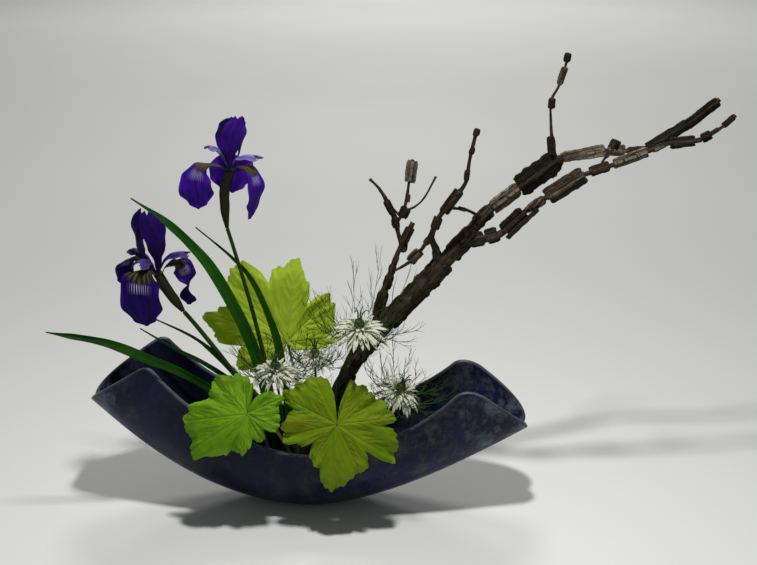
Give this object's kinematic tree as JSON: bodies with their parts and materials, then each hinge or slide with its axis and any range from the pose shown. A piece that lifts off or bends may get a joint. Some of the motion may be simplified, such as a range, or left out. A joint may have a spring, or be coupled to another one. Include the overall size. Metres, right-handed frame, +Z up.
{
  "type": "ikebana arrangement",
  "caption": "Ikebana arrangement: irises, winged branches, lobed leaves and white love-in-a-mist held by a pin holder in a folded boat-shaped bowl that stands freely.",
  "frame": {"origin": "on the flat foot under the middle of the bowl, on the surface it stands on", "axes": "+X along the bowl's length towards the side that the long branch reaches to, +Y to the back, +Z up"},
  "size_m": [0.5331, 0.1462, 0.3834],
  "materials": {
    "blue_black_glaze": "glossy mottled blue-black glaze",
    "cast_lead": "dull cast metal",
    "corky_bark": "rough dark bark with cork wings",
    "iris_stalk": "smooth fresh stem",
    "spathe": "papery brown-green sheath",
    "sword_leaf": "satin fresh leaf",
    "fall_petal": "velvety violet petal with white veins",
    "standard_petal": "velvety violet petal",
    "style_arm": "pale lavender petal-like arm",
    "lime_leaf": "soft lime-green leaf with pale veins",
    "lime_leaf_stalk": "fresh leaf stalk",
    "white_petal": "matt white petal",
    "mist_green": "thread-fine fresh green",
    "seed_head": "fresh green seed head"
  },
  "bodies": {
    "root": {"bowl": "blue_black_glaze", "coral_leaf_back_blade": "lime_leaf", "coral_leaf_back_stalk": "lime_leaf_stalk", "coral_leaf_centre_blade": "lime_leaf", "coral_leaf_centre_stalk": "lime_leaf_stalk", "coral_leaf_left_blade": "lime_leaf", "coral_leaf_left_stalk": "lime_leaf_stalk", "kenzan": "cast_lead", "low_iris_fall_1": "fall_petal", "low_iris_fall_2": "fall_petal", "low_iris_fall_3": "fall_petal", "low_iris_spathe": "spathe", "low_iris_stalk": "iris_stalk", "low_iris_standard_1": "standard_petal", "low_iris_standard_2": "standard_petal", "low_iris_standard_3": "standard_petal", "low_iris_style_arm_1": "style_arm", "low_iris_style_arm_2": "style_arm", "low_iris_style_arm_3": "style_arm", "main_branch": "corky_bark", "mist_left_bracts": "mist_green", "mist_left_petals": "white_petal", "mist_left_seed_head": "seed_head", "mist_left_stalk": "mist_green", "mist_rear_bracts": "mist_green", "mist_rear_petals": "white_petal", "mist_rear_seed_head": "seed_head", "mist_rear_stalk": "mist_green", "mist_right_bracts": "mist_green", "mist_right_petals": "white_petal", "mist_right_seed_head": "seed_head", "mist_right_stalk": "mist_green", "mist_upper_bracts": "mist_green", "mist_upper_petals": "white_petal", "mist_upper_seed_head": "seed_head", "mist_upper_stalk": "mist_green", "side_branch": "corky_bark", "sword_leaf_arching": "sword_leaf", "sword_leaf_behind": "sword_leaf", "sword_leaf_crossing": "sword_leaf", "sword_leaf_inner": "sword_leaf", "sword_leaf_low": "sword_leaf", "tall_iris_fall_1": "fall_petal", "tall_iris_fall_2": "fall_petal", "tall_iris_fall_3": "fall_petal", "tall_iris_spathe": "spathe", "tall_iris_stalk": "iris_stalk", "tall_iris_standard_1": "standard_petal", "tall_iris_standard_2": "standard_petal", "tall_iris_standard_3": "standard_petal", "tall_iris_style_arm_1": "style_arm", "tall_iris_style_arm_2": "style_arm", "tall_iris_style_arm_3": "style_arm"}
  },
  "joints": []
}
